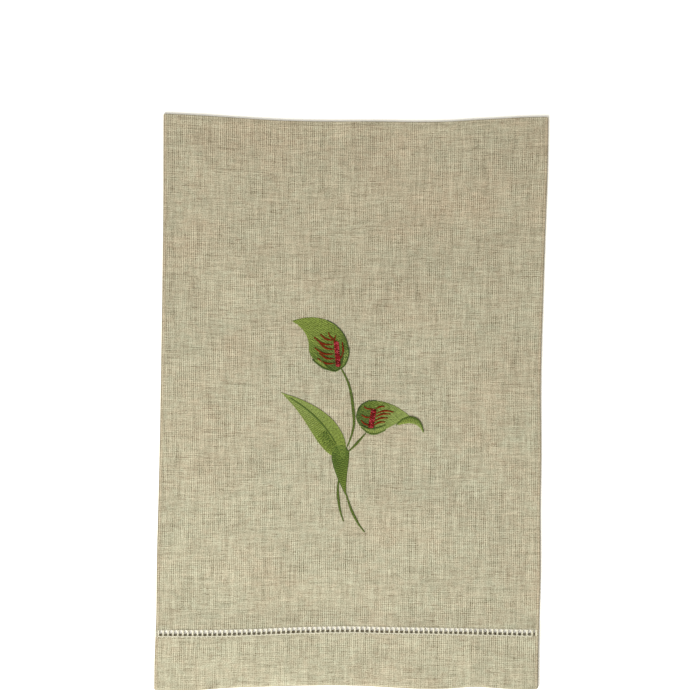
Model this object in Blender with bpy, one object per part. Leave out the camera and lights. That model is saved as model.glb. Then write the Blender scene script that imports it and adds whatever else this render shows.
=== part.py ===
"""Guest towel of natural linen, lying flat and face up, hemmed on four sides.

Units are metres. +X runs across the towel to its right, +Y up its length and +Z away from the surface
that it lies on. The origin is on that surface, under the middle of the towel's box.

The cloth is one closed solid. Its outline follows four corners and the bow of each edge. Its two faces
follow the soft swells of cloth that has been laid down by hand, and it is thicker where it is hemmed.
A row of drawn-thread holes runs across it above the deep lower hem.
"""

import math

import bmesh
import bpy
from mathutils import Vector

MM = 0.001

# The four corners of the cloth as it lies, in millimetres. The towel leans a little to the right.
TOP_LEFT = Vector((-174.1, 267.5))
TOP_RIGHT = Vector((182.9, 264.4))
BOTTOM_LEFT = Vector((-182.8, -267.2))
BOTTOM_RIGHT = Vector((173.1, -266.3))
CORNER_ROUND = 1.1

# Thickness in millimetres: one layer, the narrow hems with their turnings, and the deep hem
CLOTH_THICK = 1.0
NARROW_HEM_THICK = 1.7
DEEP_HEM_THICK = 1.9
RIM_THICK = 1.2

# Widths in millimetres, from the edge inwards
RIM_WIDTH = 0.9
NARROW_HEM = 3.7
HEM_STEP = 1.2
LADDER_LINE = 52.7

# The row of drawn-thread holes, in millimetres
HOLE_COUNT = 76
HOLE_PITCH = 4.57
HOLE_WIDTH = 2.9
HOLE_HEIGHT = 5.1
HOLE_CORNER = 0.8
FIRST_BAR = 2.7
LADDER_MARGIN = 0.9

# The mesh's cells in the body of the cloth, in millimetres
CELL = 13.0

# How far each edge bows in from the straight line between its corners.
# Columns: share of the edge from its left or lower end, distance inwards in millimetres.
TOP_BOW = (
    (0.00, 0.0),
    (0.10, 1.5),
    (0.20, 3.6),
    (0.30, 5.4),
    (0.41, 6.0),
    (0.56, 5.6),
    (0.66, 5.8),
    (0.74, 5.1),
    (0.80, 3.6),
    (0.87, 2.1),
    (0.94, 0.6),
    (1.00, 0.0),
)
BOTTOM_BOW = (
    (0.00, 0.0),
    (0.12, 0.0),
    (0.18, 1.6),
    (0.27, 2.8),
    (0.35, 3.5),
    (0.49, 3.9),
    (0.56, 3.2),
    (0.63, 1.7),
    (0.70, 0.6),
    (0.77, 0.8),
    (0.83, 2.4),
    (0.88, 1.4),
    (0.93, 0.2),
    (1.00, 0.0),
)
LADDER_BOW = (
    (0.00, 0.0),
    (0.16, 0.1),
    (0.25, 0.9),
    (0.36, 2.5),
    (0.50, 3.4),
    (0.60, 2.7),
    (0.76, 1.7),
    (0.88, 0.8),
    (0.95, 0.1),
    (1.00, 0.0),
)
LEFT_BOW = (
    (0.00, 0.0),
    (0.05, -0.1),
    (0.12, 0.7),
    (0.21, 0.5),
    (0.38, 1.3),
    (0.67, 1.5),
    (0.82, 1.2),
    (1.00, 0.0),
)
RIGHT_BOW = (
    (0.00, 0.0),
    (0.08, 0.2),
    (0.20, -0.4),
    (0.32, 0.8),
    (0.42, 1.1),
    (0.51, 2.4),
    (0.70, 1.8),
    (0.80, 1.0),
    (0.90, 0.0),
    (1.00, 0.0),
)

# Soft swells where the cloth stands off the surface.
# Columns: share across, share up, half length and half width in millimetres, turn in degrees,
# rise in millimetres.
SWELLS = (
    (0.13, 0.93, 62, 34, 12, 1.3),
    (0.47, 0.90, 88, 36, -6, 1.1),
    (0.83, 0.89, 58, 44, 28, 1.6),
    (0.30, 0.73, 92, 40, -14, 0.9),
    (0.70, 0.70, 84, 46, 18, 1.2),
    (0.08, 0.58, 46, 64, 8, 0.9),
    (0.92, 0.52, 40, 78, -6, 1.1),
    (0.45, 0.50, 70, 52, 34, 0.8),
    (0.22, 0.36, 84, 34, 22, 1.0),
    (0.68, 0.31, 96, 38, -20, 1.1),
    (0.40, 0.19, 74, 26, 6, 0.8),
    (0.88, 0.17, 52, 40, 40, 1.0),
    (0.30, 0.05, 70, 30, 0, 0.9),
    (0.83, 0.04, 18, 58, -8, 1.5),
    (0.60, 0.03, 40, 26, 4, 0.7),
)

LINEN_COLOUR = (0.49, 0.43, 0.31, 1.0)
LINEN_ROUGHNESS = 0.95


def read_curve(table, share):
    """The height at a share of a table's range, on a smooth curve through the table's rows."""
    last = len(table) - 1
    span = max(i for i in range(last) if table[i][0] <= share or i == 0)
    before, start = table[max(span - 1, 0)], table[span]
    end, after = table[span + 1], table[min(span + 2, last)]
    width = end[0] - start[0]
    start_slope = (end[1] - before[1]) / (end[0] - before[0])
    end_slope = (after[1] - start[1]) / (after[0] - start[0])
    t = (share - start[0]) / width
    return (
        (2 * t**3 - 3 * t**2 + 1) * start[1]
        + (t**3 - 2 * t**2 + t) * width * start_slope
        + (3 * t**2 - 2 * t**3) * end[1]
        + (t**3 - t**2) * width * end_slope
    )


def ease(share):
    """Goes from 0 to 1 with a soft start and a soft end, and stays there outside that range."""
    share = min(max(share, 0.0), 1.0)
    return share * share * (3 - 2 * share)


def cloth_length():
    """The length of the cloth up its middle, in millimetres."""
    return ((TOP_LEFT + TOP_RIGHT) / 2 - (BOTTOM_LEFT + BOTTOM_RIGHT) / 2).length


def cloth_width():
    """The width of the cloth across its middle, in millimetres."""
    return ((TOP_RIGHT + BOTTOM_RIGHT) / 2 - (TOP_LEFT + BOTTOM_LEFT) / 2).length


def plan_point(across, up):
    """The place, in millimetres, of a point at a share across and a share up the cloth."""
    left = BOTTOM_LEFT.lerp(TOP_LEFT, up)
    right = BOTTOM_RIGHT.lerp(TOP_RIGHT, up)
    left.x += read_curve(LEFT_BOW, up)
    right.x -= read_curve(RIGHT_BOW, up)
    point = left.lerp(right, across)
    ladder_up = LADDER_LINE / cloth_length()
    if up < ladder_up:
        part = up / ladder_up
        point.y += read_curve(BOTTOM_BOW, across) * (1 - part) + read_curve(LADDER_BOW, across) * part
    else:
        part = (up - ladder_up) / (1 - ladder_up)
        point.y += read_curve(LADDER_BOW, across) * (1 - part) - read_curve(TOP_BOW, across) * part
    return point


def rise(point):
    """How far the cloth stands off the surface at a place, in millimetres: the sum of the swells."""
    total = 0.0
    for across, up, half_length, half_width, turn, height in SWELLS:
        away = point - plan_point(across, up)
        angle = math.radians(turn)
        along = (away.x * math.cos(angle) + away.y * math.sin(angle)) / half_length
        aside = (away.y * math.cos(angle) - away.x * math.sin(angle)) / half_width
        reach = math.hypot(along, aside)
        if reach < 1:
            total += height * (0.5 + 0.5 * math.cos(math.pi * reach))
    return total


def thickness(across, up):
    """The thickness at a share across and up, in millimetres: one layer, or a hem with its turnings."""
    from_side = min(across, 1 - across) * cloth_width()
    from_top = (1 - up) * cloth_length()
    from_bottom = up * cloth_length()
    narrow = 1 - ease((min(from_side, from_top) - NARROW_HEM) / HEM_STEP)
    deep_edge = LADDER_LINE - HOLE_HEIGHT / 2 - HEM_STEP
    deep = 1 - ease((from_bottom - deep_edge) / HEM_STEP)
    thick = CLOTH_THICK
    thick += max(narrow * (NARROW_HEM_THICK - CLOTH_THICK), deep * (DEEP_HEM_THICK - CLOTH_THICK))
    if min(from_side, from_top, from_bottom) < RIM_WIDTH / 2:
        thick = RIM_THICK
    return thick


def even_lines(start, end, most):
    """Evenly spaced places from start to end, both included, at most a given distance apart."""
    steps = max(1, math.ceil((end - start) / most))
    return [start + (end - start) * i / steps for i in range(steps + 1)]


def column_shares():
    """The shares across the cloth at which the mesh has its columns."""
    width = cloth_width()
    inner = NARROW_HEM + HEM_STEP
    left = [0.0, RIM_WIDTH, NARROW_HEM]
    body = even_lines(inner, width - inner, CELL)
    right = [width - NARROW_HEM, width - RIM_WIDTH, width]
    return [place / width for place in left + body + right]


def row_shares():
    """The shares up the cloth at which the mesh has its rows."""
    length = cloth_length()
    ladder_low = LADDER_LINE - HOLE_HEIGHT / 2
    ladder_high = LADDER_LINE + HOLE_HEIGHT / 2 + LADDER_MARGIN
    inner = NARROW_HEM + HEM_STEP
    hem = [0.0] + even_lines(RIM_WIDTH, ladder_low - HEM_STEP, CELL)
    ladder = [ladder_low]
    body = even_lines(ladder_high, length - inner, CELL)
    top = [length - NARROW_HEM, length - RIM_WIDTH, length]
    return [place / length for place in hem + ladder + body + top]


def round_corner(point, across, up):
    """A corner's place, drawn in towards the middle of the cloth. Other points stay."""
    if across not in (0.0, 1.0) or up not in (0.0, 1.0):
        return point
    inwards = (plan_point(0.5, 0.5) - point).normalized()
    return point + inwards * CORNER_ROUND * math.sqrt(2)


def make_face(bm, columns, rows, lift):
    """Adds one face of the cloth to a bmesh as a grid, each point raised by lift(across, up)."""
    made = bmesh.ops.create_grid(bm, x_segments=len(columns) - 1, y_segments=len(rows) - 1, size=0.5)
    for vert in made["verts"]:
        across = columns[round((vert.co.x + 0.5) * (len(columns) - 1))]
        up = rows[round((vert.co.y + 0.5) * (len(rows) - 1))]
        point = round_corner(plan_point(across, up), across, up)
        vert.co = Vector((point.x, point.y, rise(point) + lift(across, up))) * MM
    return made["verts"]


def centre_on_origin(bm):
    """Moves a mesh so that its box is centred over the origin and stands on the surface."""
    low = Vector([min(vert.co[axis] for vert in bm.verts) for axis in range(3)])
    high = Vector([max(vert.co[axis] for vert in bm.verts) for axis in range(3)])
    middle = (low + high) / 2
    shift = Vector((-middle.x, -middle.y, -low.z))
    bmesh.ops.translate(bm, vec=shift, verts=bm.verts)
    return shift


def make_cloth():
    """The closed sheet without its holes, and the shift that centred it."""
    columns, rows = column_shares(), row_shares()
    bm = bmesh.new()
    make_face(bm, columns, rows, lambda across, up: 0.0)
    bmesh.ops.reverse_faces(bm, faces=bm.faces[:])
    make_face(bm, columns, rows, thickness)
    rim = [edge for edge in bm.edges if edge.is_boundary]
    bmesh.ops.bridge_loops(bm, edges=rim)
    bmesh.ops.recalc_face_normals(bm, faces=bm.faces[:])
    shift = centre_on_origin(bm)
    mesh = bpy.data.meshes.new("towel_cloth")
    bm.to_mesh(mesh)
    bm.free()
    return mesh, shift


def make_hole_tools(shift):
    """The cutters of the drawn-thread holes, as one mesh of upright prisms with clipped corners."""
    bm = bmesh.new()
    up = LADDER_LINE / cloth_length()
    half_wide, half_high = HOLE_WIDTH / 2, HOLE_HEIGHT / 2
    corners = (
        (half_wide, half_high - HOLE_CORNER),
        (half_wide - HOLE_CORNER, half_high),
        (HOLE_CORNER - half_wide, half_high),
        (-half_wide, half_high - HOLE_CORNER),
        (-half_wide, HOLE_CORNER - half_high),
        (HOLE_CORNER - half_wide, -half_high),
        (half_wide - HOLE_CORNER, -half_high),
        (half_wide, HOLE_CORNER - half_high),
    )
    depth = DEEP_HEM_THICK + sum(row[-1] for row in SWELLS)
    for hole in range(HOLE_COUNT):
        across = (FIRST_BAR + (hole + 0.5) * HOLE_PITCH) / cloth_width()
        middle = plan_point(across, up)
        base = [
            bm.verts.new(Vector((middle.x + x, middle.y + y, -depth)) * MM + Vector((shift.x, shift.y, 0)))
            for x, y in corners
        ]
        made = bmesh.ops.extrude_face_region(bm, geom=[bm.faces.new(base)], use_keep_orig=True)
        raised = [item for item in made["geom"] if isinstance(item, bmesh.types.BMVert)]
        bmesh.ops.translate(bm, vec=Vector((0, 0, 3 * depth * MM)), verts=raised)
    bmesh.ops.recalc_face_normals(bm, faces=bm.faces[:])
    mesh = bpy.data.meshes.new("hole_tools")
    bm.to_mesh(mesh)
    bm.free()
    return mesh


def linen():
    """The material of natural undyed linen."""
    material = bpy.data.materials.new("natural_linen")
    material.use_nodes = True
    shader = material.node_tree.nodes["Principled BSDF"]
    shader.inputs["Base Color"].default_value = LINEN_COLOUR
    shader.inputs["Roughness"].default_value = LINEN_ROUGHNESS
    shader.inputs["Metallic"].default_value = 0.0
    return material


def main():
    for old in list(bpy.data.objects):
        bpy.data.objects.remove(old, do_unlink=True)
    mesh, shift = make_cloth()
    cloth = bpy.data.objects.new("towel_cloth", mesh)
    bpy.context.scene.collection.objects.link(cloth)
    mesh.materials.append(linen())

    tools = bpy.data.objects.new("hole_tools", make_hole_tools(shift))
    bpy.context.scene.collection.objects.link(tools)
    tools.hide_render = True
    tools.display_type = "WIRE"

    holes = cloth.modifiers.new("drawn_thread_holes", "BOOLEAN")
    holes.operation = "DIFFERENCE"
    holes.solver = "EXACT"
    holes.object = tools


main()
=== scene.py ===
"""The looks of a guest towel: woven linen, a hemstitched deep hem and an embroidered flower spray.

The towel lies flat and face up, as its solid does. Sizes are millimetres in the towel's own plan, with x
to the right and y up the towel, and become metres where a mesh is made.
"""

import logging
import math
import random
from collections.abc import Iterable, Iterator, Sequence
from dataclasses import dataclass, field
from enum import Enum
from functools import cached_property

import bmesh
import bpy
import numpy as np
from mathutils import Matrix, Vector, noise


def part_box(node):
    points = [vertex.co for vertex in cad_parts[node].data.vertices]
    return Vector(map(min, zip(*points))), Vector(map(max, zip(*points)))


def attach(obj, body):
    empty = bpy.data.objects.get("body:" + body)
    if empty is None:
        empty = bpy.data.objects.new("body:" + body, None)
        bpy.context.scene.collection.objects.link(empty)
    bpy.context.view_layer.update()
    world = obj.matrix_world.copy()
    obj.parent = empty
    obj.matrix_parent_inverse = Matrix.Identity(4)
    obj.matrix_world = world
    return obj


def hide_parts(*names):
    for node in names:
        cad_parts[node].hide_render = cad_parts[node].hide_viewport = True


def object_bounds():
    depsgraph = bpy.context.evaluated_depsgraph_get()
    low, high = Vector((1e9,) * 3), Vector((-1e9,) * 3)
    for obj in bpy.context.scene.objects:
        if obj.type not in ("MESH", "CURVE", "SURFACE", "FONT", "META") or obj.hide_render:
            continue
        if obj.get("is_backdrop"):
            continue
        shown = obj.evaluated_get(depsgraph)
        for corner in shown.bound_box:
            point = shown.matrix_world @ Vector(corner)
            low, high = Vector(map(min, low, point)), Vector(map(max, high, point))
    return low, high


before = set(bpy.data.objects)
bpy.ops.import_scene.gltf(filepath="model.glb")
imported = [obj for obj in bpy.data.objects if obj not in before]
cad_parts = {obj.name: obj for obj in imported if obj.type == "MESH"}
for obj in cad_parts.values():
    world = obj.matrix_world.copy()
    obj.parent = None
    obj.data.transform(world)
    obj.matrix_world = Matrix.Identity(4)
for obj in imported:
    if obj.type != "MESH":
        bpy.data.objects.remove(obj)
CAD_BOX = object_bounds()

LOG = logging.getLogger("guest_towel")
MM = 0.001
NODE = "towel_cloth"
BLOCK_RIM = 0.4999
TOUCH = 0.01
PICTURE_MM = 0.928
PICTURE_SIDE = 700
PICTURE_MIDDLE = (351.3, 401.9)
STUDIO_LIGHT = 1.45

Point = tuple[float, float]
Point3 = tuple[float, float, float]


def linear(red: int, green: int, blue: int) -> tuple[float, float, float, float]:
    """Turns a colour seen on screen into the light values that a shader takes.

    Args:
        red: Red as seen, 0 to 255.
        green: Green as seen, 0 to 255.
        blue: Blue as seen, 0 to 255.

    Returns:
        Red, green, blue and an alpha of 1, as light.
    """
    parts = [value / 255 for value in (red, green, blue)]
    light = [c / 12.92 if c <= 0.04045 else ((c + 0.055) / 1.055) ** 2.4 for c in parts]
    return (*light, 1.0)


def seen(red: int, green: int, blue: int) -> tuple[float, float, float, float]:
    """Turns a colour seen on the towel in the studio's light into the surface's own colour.

    Args:
        red: Red as seen, 0 to 255.
        green: Green as seen, 0 to 255.
        blue: Blue as seen, 0 to 255.

    Returns:
        The surface's own red, green, blue and an alpha of 1, as light.
    """
    return (*(part / STUDIO_LIGHT for part in linear(red, green, blue)[:3]), 1.0)


def ease(share: np.ndarray | float) -> np.ndarray:
    """Goes from 0 to 1 with a soft start and a soft end, and stays there outside that range."""
    held = np.clip(share, 0.0, 1.0)
    return held * held * (3 - 2 * held)


def smooth_path(points: Sequence[Point], step: float, closed: bool = False) -> np.ndarray:
    """Reads a smooth curve through a few points.

    Args:
        points: The points that the curve passes through, in millimetres.
        step: The distance between the points read, in millimetres.
        closed: Whether the curve returns to its first point.

    Returns:
        The points read, one row each.
    """
    given = np.array(points, float)
    if closed:
        padded = np.vstack([given[-1], given, given[0], given[1]])
    else:
        padded = np.vstack([2 * given[0] - given[1], given, 2 * given[-1] - given[-2]])
    read = []
    for before, start, end, after in zip(padded, padded[1:], padded[2:], padded[3:]):
        count = max(2, math.ceil(float(np.linalg.norm(end - start)) / step))
        for t in np.arange(count) / count:
            read.append(
                0.5
                * (
                    2 * start
                    + (end - before) * t
                    + (2 * before - 5 * start + 4 * end - after) * t**2
                    + (3 * start - before - 3 * end + after) * t**3
                )
            )
    if not closed:
        read.append(given[-1])
    return np.array(read)


@dataclass(frozen=True)
class Bow:
    """How far an edge bows from the straight line between its corners.

    Rows hold a share of the edge, from its left or lower end, and a distance in millimetres.
    """

    rows: tuple[Point, ...]

    @cached_property
    def curve(self) -> tuple[np.ndarray, np.ndarray, np.ndarray]:
        """The rows' shares, their distances and the curve's slope at each."""
        places, heights = np.array(self.rows).T
        return places, heights, np.gradient(heights, places)

    def at(self, share: np.ndarray | float) -> np.ndarray:
        """Reads the bow on a smooth curve through its rows.

        Args:
            share: One or more shares of the edge.

        Returns:
            The distance at each share, in millimetres.
        """
        places, heights, slopes = self.curve
        share = np.clip(share, 0.0, 1.0)
        span = np.clip(np.searchsorted(places, share, side="right") - 1, 0, len(places) - 2)
        width = places[span + 1] - places[span]
        t = (share - places[span]) / width
        return (
            (2 * t**3 - 3 * t**2 + 1) * heights[span]
            + (t**3 - 2 * t**2 + t) * width * slopes[span]
            + (3 * t**2 - 2 * t**3) * heights[span + 1]
            + (t**3 - t**2) * width * slopes[span + 1]
        )


@dataclass(frozen=True)
class Swell:
    """A soft rise of the cloth off the surface: a long low mound with a turn in plan."""

    across: float
    up: float
    half_length: float
    half_width: float
    turn: float
    height: float


@dataclass
class ClothForm:
    """Where the cloth lies: its outline, its swells and the lift of its hems."""

    top_left: Point = (-174.1, 267.5)
    top_right: Point = (182.9, 264.4)
    bottom_left: Point = (-182.8, -267.2)
    bottom_right: Point = (173.1, -266.3)
    layer: float = 0.7
    narrow_hem: float = 3.7
    narrow_thick: float = 1.3
    narrow_slope: float = 9.0
    deep_thick: float = 2.4
    deep_slope: float = 26.0
    ladder_line: float = 52.7
    ladder_half: float = 2.8
    top_bow: Bow = Bow((
        (0.00, 0.0), (0.10, 1.5), (0.20, 3.6), (0.30, 5.4), (0.41, 6.0), (0.56, 5.6),
        (0.66, 5.8), (0.74, 5.1), (0.80, 3.6), (0.87, 2.1), (0.94, 0.6), (1.00, 0.0),
    ))
    bottom_bow: Bow = Bow((
        (0.00, 0.0), (0.12, 0.0), (0.18, 1.6), (0.27, 2.8), (0.35, 3.5), (0.49, 3.9), (0.56, 3.2),
        (0.63, 1.7), (0.70, 0.6), (0.77, 0.8), (0.83, 2.4), (0.88, 1.4), (0.93, 0.2), (1.00, 0.0),
    ))
    ladder_bow: Bow = Bow((
        (0.00, 0.0), (0.16, 0.1), (0.25, 0.9), (0.36, 2.5), (0.50, 3.4),
        (0.60, 2.7), (0.76, 1.7), (0.88, 0.8), (0.95, 0.1), (1.00, 0.0),
    ))
    left_bow: Bow = Bow((
        (0.00, 0.0), (0.05, -0.1), (0.12, 0.7), (0.21, 0.5),
        (0.38, 1.3), (0.67, 1.5), (0.82, 1.2), (1.00, 0.0),
    ))
    right_bow: Bow = Bow((
        (0.00, 0.0), (0.08, 0.2), (0.20, -0.4), (0.32, 0.8), (0.42, 1.1),
        (0.51, 2.4), (0.70, 1.8), (0.80, 1.0), (0.90, 0.0), (1.00, 0.0),
    ))
    swells: tuple[Swell, ...] = (
        Swell(0.13, 0.93, 62, 34, 12, 1.3),
        Swell(0.47, 0.90, 88, 36, -6, 1.1),
        Swell(0.83, 0.89, 58, 44, 28, 1.6),
        Swell(0.30, 0.73, 92, 40, -14, 0.9),
        Swell(0.70, 0.70, 84, 46, 18, 1.2),
        Swell(0.08, 0.58, 46, 64, 8, 0.9),
        Swell(0.92, 0.52, 40, 78, -6, 1.1),
        Swell(0.45, 0.50, 70, 52, 34, 0.8),
        Swell(0.22, 0.36, 84, 34, 22, 1.0),
        Swell(0.68, 0.31, 96, 38, -20, 1.1),
        Swell(0.40, 0.19, 74, 26, 6, 0.8),
        Swell(0.88, 0.17, 52, 40, 40, 1.0),
        Swell(0.30, 0.05, 70, 30, 0, 0.9),
        Swell(0.83, 0.04, 18, 58, -8, 1.5),
        Swell(0.60, 0.03, 40, 26, 4, 0.7),
        Swell(0.49, 0.455, 190, 120, 80, 0.5),
    )
    shift: np.ndarray = field(default_factory=lambda: np.zeros(2))
    mounds: list[tuple[Swell, np.ndarray, float]] = field(default_factory=list)

    def __post_init__(self) -> None:
        """Centres the outline on the node's own box, and finds the middle of each swell."""
        share = np.linspace(0, 1, 201)
        ends = np.zeros_like(share)
        edges = [self.plan(share, ends), self.plan(share, ends + 1)]
        edges += [self.plan(ends, share), self.plan(ends + 1, share)]
        rim = np.vstack(edges)
        low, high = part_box(NODE)
        middle = np.array([(low.x + high.x) / 2, (low.y + high.y) / 2]) / MM
        self.shift = middle - (rim.min(axis=0) + rim.max(axis=0)) / 2
        for swell in self.swells:
            self.mounds.append((swell, self.plan(swell.across, swell.up), math.radians(swell.turn)))

    @property
    def width(self) -> float:
        """The width across the middle of the cloth, in millimetres."""
        right = (np.array(self.top_right) + self.bottom_right) / 2
        left = (np.array(self.top_left) + self.bottom_left) / 2
        return float(np.linalg.norm(right - left))

    @property
    def length(self) -> float:
        """The length up the middle of the cloth, in millimetres."""
        top = (np.array(self.top_left) + self.top_right) / 2
        bottom = (np.array(self.bottom_left) + self.bottom_right) / 2
        return float(np.linalg.norm(top - bottom))

    def plan(self, across: np.ndarray, up: np.ndarray) -> np.ndarray:
        """Finds places on the cloth.

        Args:
            across: Shares across the cloth, from its left edge.
            up: Shares up the cloth, from its lower edge.

        Returns:
            The x and y of each place, in millimetres, one row each.
        """
        across, up = np.atleast_1d(across), np.atleast_1d(up)
        rise = up[:, None]
        left = np.array(self.bottom_left) * (1 - rise) + np.array(self.top_left) * rise
        right = np.array(self.bottom_right) * (1 - rise) + np.array(self.top_right) * rise
        left[:, 0] += self.left_bow.at(up)
        right[:, 0] -= self.right_bow.at(up)
        place = left * (1 - across[:, None]) + right * across[:, None]
        ladder = self.ladder_line / self.length
        low = np.clip(up / ladder, 0, 1)
        high = np.clip((up - ladder) / (1 - ladder), 0, 1)
        bow = self.bottom_bow.at(across) * (1 - low) - self.top_bow.at(across) * high
        bow += self.ladder_bow.at(across) * np.where(up < ladder, low, 1 - high)
        place[:, 1] += bow
        return place + self.shift

    def rise(self, places: np.ndarray) -> np.ndarray:
        """Adds up the swells.

        Args:
            places: Places on the cloth, in millimetres, one row each.

        Returns:
            How far the cloth stands off the surface at each place, in millimetres.
        """
        total = np.zeros(len(places))
        for swell, middle, turn in self.mounds:
            away = places - middle
            along = (away[:, 0] * math.cos(turn) + away[:, 1] * math.sin(turn)) / swell.half_length
            aside = (away[:, 1] * math.cos(turn) - away[:, 0] * math.sin(turn)) / swell.half_width
            reach = np.clip(np.hypot(along, aside), 0, 1)
            total += swell.height * (0.5 + 0.5 * np.cos(math.pi * reach))
        return total

    def hem_lift(self, across: np.ndarray, up: np.ndarray) -> tuple[np.ndarray, np.ndarray]:
        """Finds how a hem's turned layers hold the cloth up, on the hem and beside it.

        Args:
            across: Shares across the cloth.
            up: Shares up the cloth.

        Returns:
            The lift of the upper face and of the underside, in millimetres. The turnings lie
            underneath, so the underside drops to the surface on the hem itself.
        """
        from_side = np.minimum(across, 1 - across) * self.width
        from_top = (1 - up) * self.length
        from_bottom = up * self.length
        edge = np.minimum(from_side, from_top) - self.narrow_hem
        narrow = (self.narrow_thick - self.layer) * (1 - ease(edge / self.narrow_slope))
        past = from_bottom - (self.ladder_line - self.ladder_half)
        deep = (self.deep_thick - self.layer) * (1 - ease(past / self.deep_slope))
        upper = np.maximum(narrow, deep)
        on_hem = (edge <= TOUCH) | (past <= TOUCH)
        return upper, np.where(on_hem, 0.0, upper)

    def top(self, places: np.ndarray, across: np.ndarray, up: np.ndarray) -> np.ndarray:
        """The height of the cloth's upper face at each place, in millimetres."""
        return self.rise(places) + self.layer + self.hem_lift(across, up)[0]


class Signal:
    """A node's output that takes part in arithmetic: each operation adds its Math node."""

    def __init__(self, painter: "Painter", socket: bpy.types.NodeSocket) -> None:
        """Wraps an output socket of a painter's tree."""
        self.painter = painter
        self.socket = socket

    def math(self, operation: str, *others: "Signal | float") -> "Signal":
        """Adds one Math node.

        Args:
            operation: The Math node's operation.
            others: The values or signals after this one.

        Returns:
            The node's result.
        """
        return self.painter.maths(operation, self, *others)

    def __add__(self, other: "Signal | float") -> "Signal":
        """Adds a value."""
        return self.math("ADD", other)

    __radd__ = __add__

    def __sub__(self, other: "Signal | float") -> "Signal":
        """Takes a value away."""
        return self.math("SUBTRACT", other)

    def __rsub__(self, other: float) -> "Signal":
        """Takes this away from a value."""
        return self.painter.maths("SUBTRACT", other, self)

    def __mul__(self, other: "Signal | float") -> "Signal":
        """Multiplies by a value."""
        return self.math("MULTIPLY", other)

    __rmul__ = __mul__

    def __truediv__(self, other: float) -> "Signal":
        """Divides by a number."""
        return self.math("MULTIPLY", 1 / other)

    def __abs__(self) -> "Signal":
        """The size without its sign."""
        return self.math("ABSOLUTE")

    def sine(self) -> "Signal":
        """The sine, of radians."""
        return self.math("SINE")

    def above(self, low: float, high: float) -> "Signal":
        """Goes softly from 0 at one level to 1 at another.

        Args:
            low: The level that gives 0.
            high: The level that gives 1.

        Returns:
            A signal from 0 to 1.
        """
        settings = {"interpolation_type": "SMOOTHSTEP"}
        node = self.painter.node("MapRange", settings, {0: self, 1: low, 2: high})
        return Signal(self.painter, node.outputs[0])


class Painter:
    """One material's node tree, with one way to add any node."""

    def __init__(self, name: str, roughness: float) -> None:
        """Starts a material.

        Args:
            name: The material's name.
            roughness: How matt the surface is.
        """
        self.material = bpy.data.materials.new(name)
        self.material.use_nodes = True
        self.tree = self.material.node_tree
        self.shader = self.tree.nodes["Principled BSDF"]
        self.set("Roughness", roughness)

    def node(self, kind: str, settings: dict | None = None, sockets: dict | None = None) -> bpy.types.Node:
        """Adds a node, its settings first and then its sockets' values or links.

        Args:
            kind: The node's type, without its ShaderNode prefix.
            settings: The node's properties by name.
            sockets: Values, signals or sockets by input name or number.

        Returns:
            The node.
        """
        made = self.tree.nodes.new("ShaderNode" + kind)
        for name, value in (settings or {}).items():
            setattr(made, name, value)
        for name, value in (sockets or {}).items():
            self.feed(made.inputs[name], value)
        return made

    def feed(self, socket: bpy.types.NodeSocket, value: object) -> None:
        """Links a socket, or sets its value."""
        source = value.socket if isinstance(value, Signal) else value
        if isinstance(source, bpy.types.NodeSocket):
            self.tree.links.new(source, socket)
        else:
            socket.default_value = source

    def set(self, name: str, value: object) -> None:
        """Feeds one of the shader's own sockets."""
        self.feed(self.shader.inputs[name], value)

    def maths(self, operation: str, *values: "Signal | float") -> Signal:
        """Adds a Math node.

        Args:
            operation: Its operation.
            values: Its inputs in order.

        Returns:
            Its result.
        """
        node = self.node("Math", {"operation": operation}, dict(enumerate(values)))
        return Signal(self, node.outputs[0])

    def noise(self, x: object, y: object, seed: float, detail: float = 2.0) -> Signal:
        """Reads soft noise at a place, from 0 to 1.

        Args:
            x: The place across, in units of the noise's own grain.
            y: The place up, in the same units.
            seed: Tells one noise from another.
            detail: How much finer grain is added.

        Returns:
            The noise.
        """
        place = self.node("CombineXYZ", None, {0: x, 1: y, 2: seed})
        sockets = {"Vector": place.outputs[0], "Scale": 1.0, "Detail": detail}
        return Signal(self, self.node("TexNoise", None, sockets).outputs[0])

    def mix(self, share: object, first: object, second: object, blend: str = "MIX") -> bpy.types.NodeSocket:
        """Mixes two colours.

        Args:
            share: How much of the second shows.
            first: A colour or a colour socket.
            second: A colour or a colour socket.
            blend: The Mix node's way of blending.

        Returns:
            The mixed colour's socket.
        """
        settings = {"data_type": "RGBA", "blend_type": blend}
        node = self.node("Mix", settings, {0: share, 6: first, 7: second})
        return node.outputs[2]

    def relief(self, height: Signal, strength: float, distance: float) -> None:
        """Gives the surface a fine relief.

        Args:
            height: The height, from 0 to about 1.
            strength: How much of the relief shows.
            distance: The height's full depth, in millimetres.
        """
        sockets = {"Height": height, "Strength": strength, "Distance": distance * MM}
        self.set("Normal", self.node("Bump", None, sockets).outputs[0])


@dataclass(frozen=True)
class Yarns:
    """The threads that run one way through the weave, as signals."""

    rounded: Signal
    tone: Signal
    thick: Signal


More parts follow.
